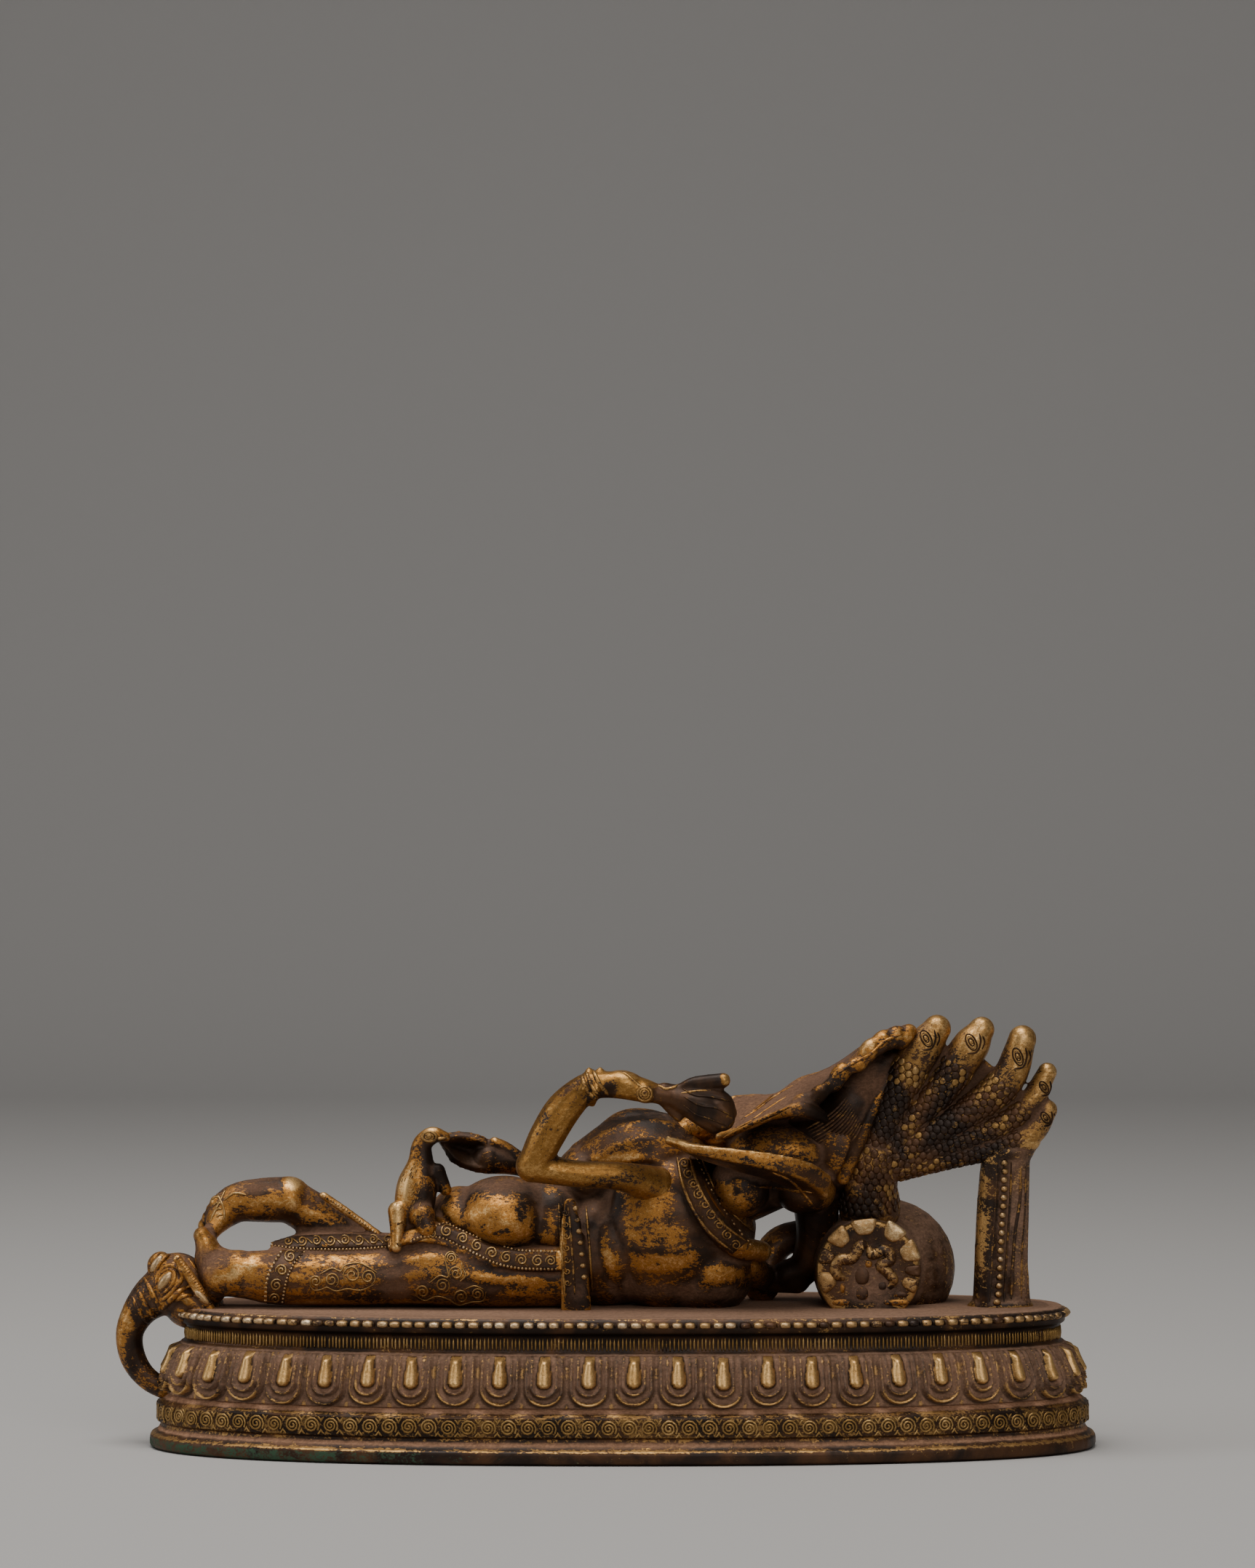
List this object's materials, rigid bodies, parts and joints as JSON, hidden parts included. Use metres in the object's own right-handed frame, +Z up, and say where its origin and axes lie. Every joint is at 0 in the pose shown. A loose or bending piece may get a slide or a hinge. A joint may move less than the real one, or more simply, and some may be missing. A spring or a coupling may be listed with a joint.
{
  "type": "reclining deity statue",
  "caption": "Small gilt statue of an elephant-headed deity lying on an oval lotus base, with a serpent canopy, a mongoose on the lap and an elephant-head spout",
  "frame": {"origin": "centre of the base's flat underside", "axes": "+X along the figure from its feet to its head, +Y away from the viewer's side, +Z up"},
  "size_m": [0.2021, 0.072, 0.0887],
  "materials": {
    "dusty_gilt": "aged gilding under brown dust",
    "worn_gilt": "worn gilding over dark patina"
  },
  "bodies": {
    "root": {"lotus_base": "dusty_gilt", "reclining_figure": "worn_gilt"}
  },
  "joints": []
}
